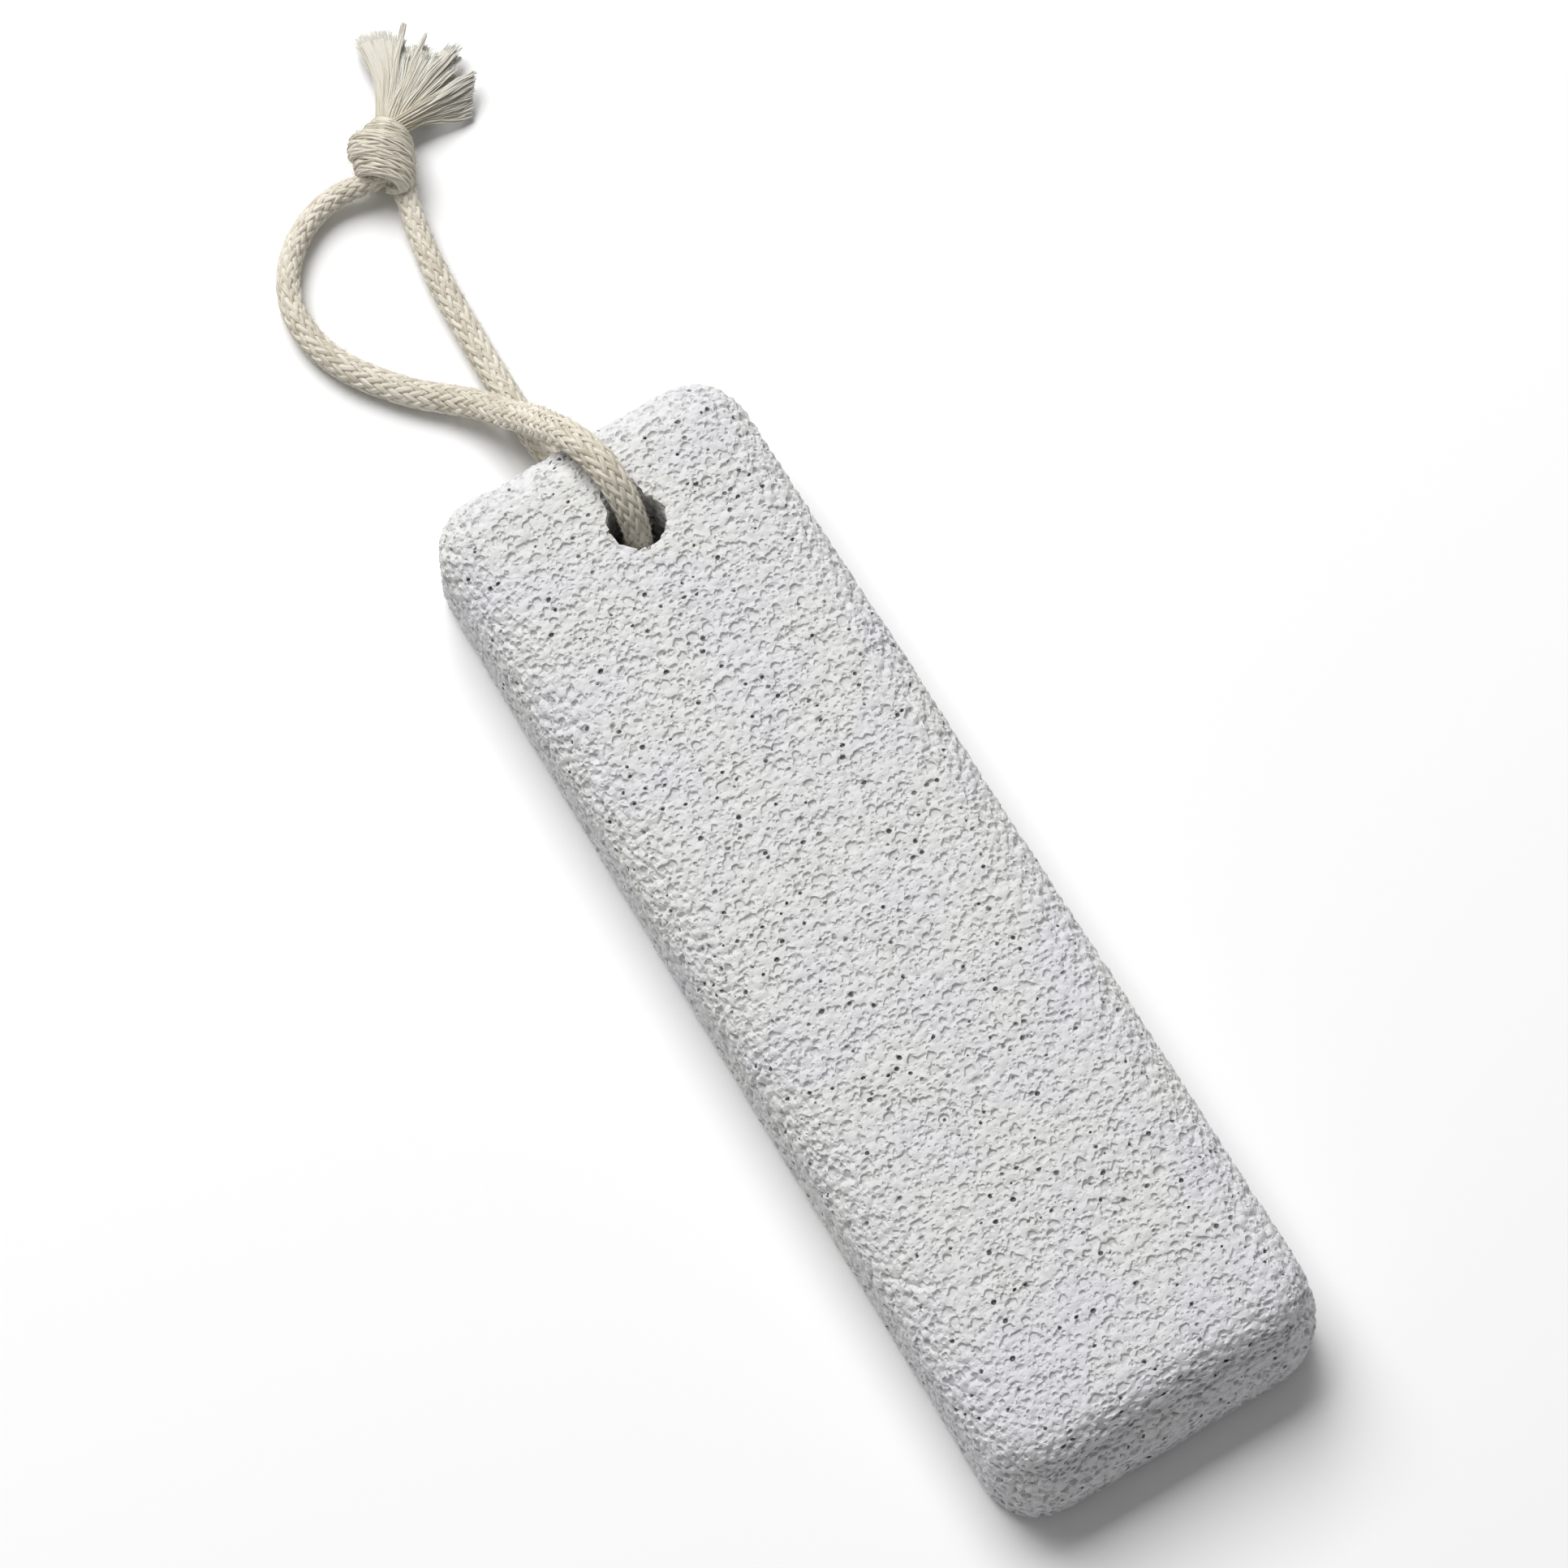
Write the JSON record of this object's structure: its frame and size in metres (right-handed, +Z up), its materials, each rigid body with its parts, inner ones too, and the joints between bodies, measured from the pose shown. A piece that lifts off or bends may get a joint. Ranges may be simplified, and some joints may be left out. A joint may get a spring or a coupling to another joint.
{
  "type": "pumice stone",
  "caption": "Bar of natural pumice for smoothing skin, rounded over on its upper face, with a hole near one end for a knotted loop of braided cotton cord.",
  "frame": {"origin": "under the middle of the stone, on the flat back that it rests on", "axes": "+Z up through the stone's thickness, X along its length with the cord end at -X, Y across its width"},
  "size_m": [0.2218, 0.0472, 0.0242],
  "materials": {
    "pumice": "matt, light grey, open-pored volcanic glass foam",
    "braided_cotton": "undyed braided cotton, matt and slightly hairy",
    "knotted_cotton": "the same cotton, pulled tight in a knot",
    "loose_cotton": "the same cotton, unlaid to loose yarn and fibre"
  },
  "bodies": {
    "root": {"pumice_stone": "pumice", "cord": "braided_cotton", "knot": "knotted_cotton", "frayed_ends": "loose_cotton"}
  },
  "joints": []
}
